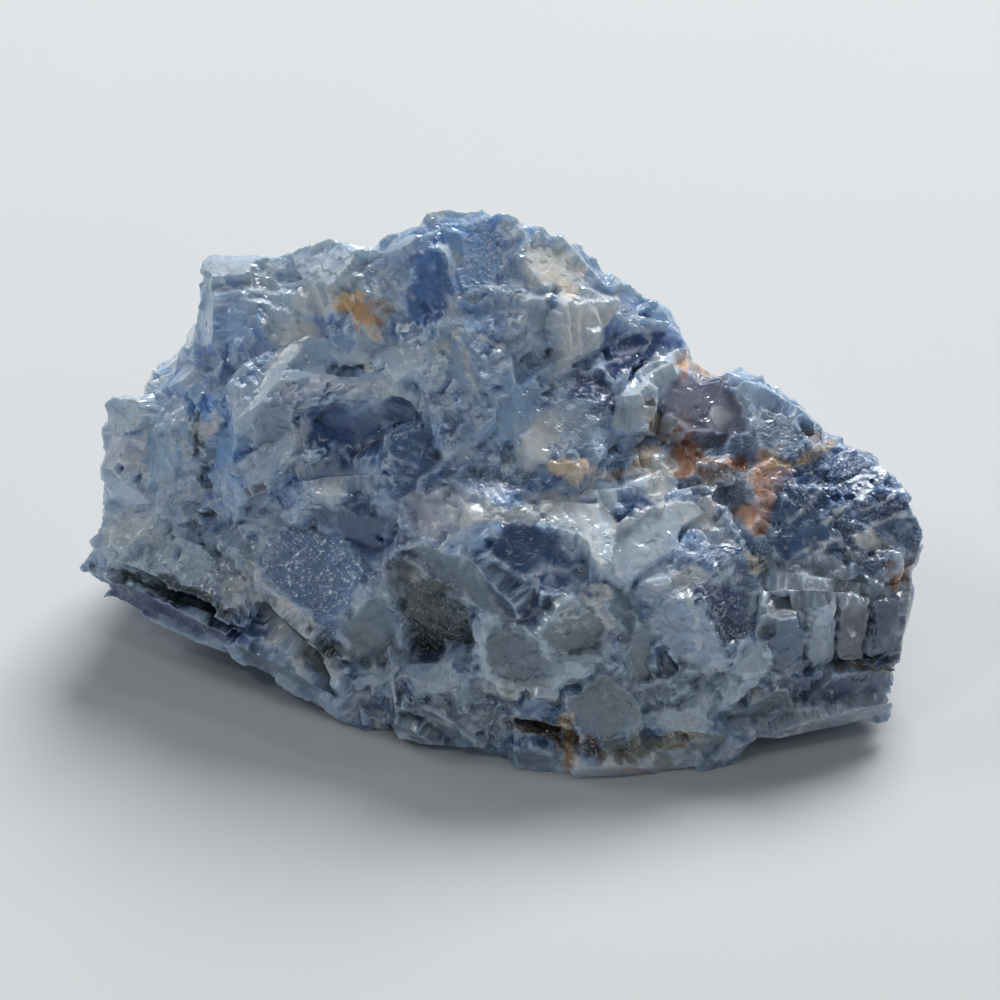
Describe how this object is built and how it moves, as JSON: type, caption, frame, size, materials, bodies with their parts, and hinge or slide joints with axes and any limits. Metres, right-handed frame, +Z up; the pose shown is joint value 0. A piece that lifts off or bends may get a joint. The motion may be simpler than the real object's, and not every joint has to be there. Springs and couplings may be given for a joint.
{
  "type": "blue calcite",
  "caption": "Rough lump of massive blue calcite with cleavage faces, white veining and rust stains, lying on a broken flat.",
  "frame": {"origin": "middle of the lump's bounding box in X and Y, on the ground at its lowest point", "axes": "+X along the lump's length to its blunt lower end, -Y to its broad sloping front, +Z up"},
  "size_m": [0.104, 0.062, 0.0563],
  "materials": {
    "calcite": "glassy to milky cleavage faces, mottled deep blue, pale blue-grey and white, with rust-stained clefts"
  },
  "bodies": {
    "root": {"calcite": "calcite"}
  },
  "joints": []
}
